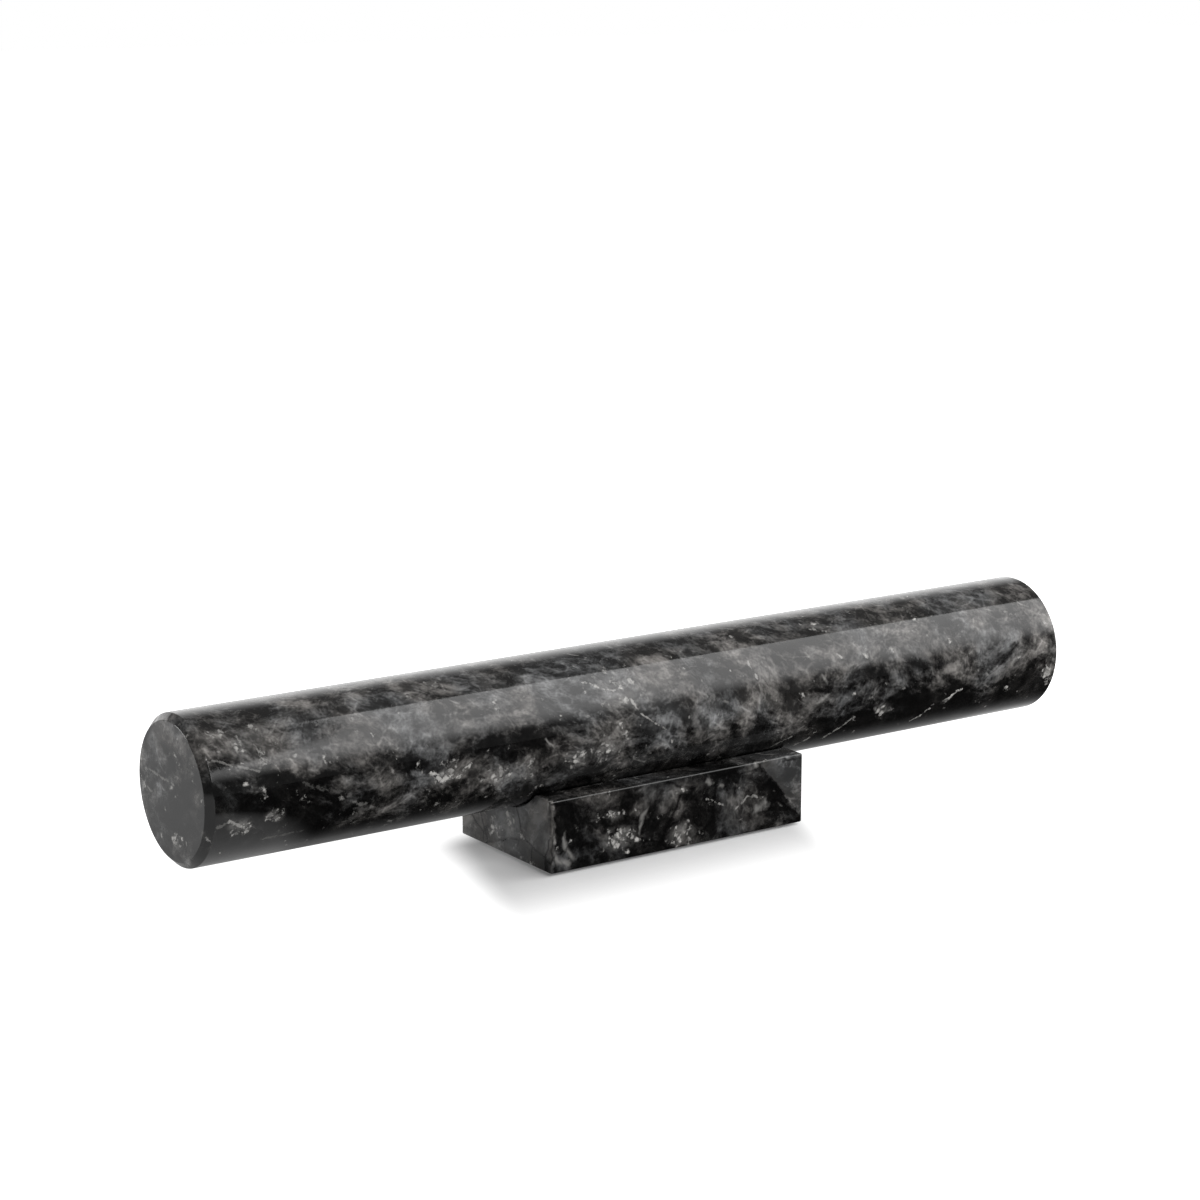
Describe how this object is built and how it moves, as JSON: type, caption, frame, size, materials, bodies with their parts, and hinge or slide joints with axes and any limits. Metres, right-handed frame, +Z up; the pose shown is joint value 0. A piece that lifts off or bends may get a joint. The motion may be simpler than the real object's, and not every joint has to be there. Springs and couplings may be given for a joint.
{
  "type": "marble rolling pin with stand",
  "caption": "Straight one-piece cylindrical stone rolling pin with bevelled ends, lying in the round groove of a short matching stone block that stands on thin pads.",
  "frame": {"origin": "on the table, under the middle of the stand and of the pin", "axes": "+X along the pin, +Y across the stand towards its back, +Z up"},
  "size_m": [0.355, 0.056, 0.0688],
  "materials": {
    "pin_marble": "polished black marble with grey clouds and fine white veins",
    "stand_marble": "polished black marble with grey clouds and fine white veins",
    "pad_rubber": "matte black rubber"
  },
  "bodies": {
    "stand": {"stand": "stand_marble", "pad_left_front": "pad_rubber", "pad_left_back": "pad_rubber", "pad_right_front": "pad_rubber", "pad_right_back": "pad_rubber"},
    "pin": {"rolling_pin": "pin_marble"}
  },
  "joints": [
    {"name": "pin_lift", "type": "slide", "parent": "stand", "child": "pin", "axis": [0, 0, 1], "range_m": [0, 0.035]}
  ]
}
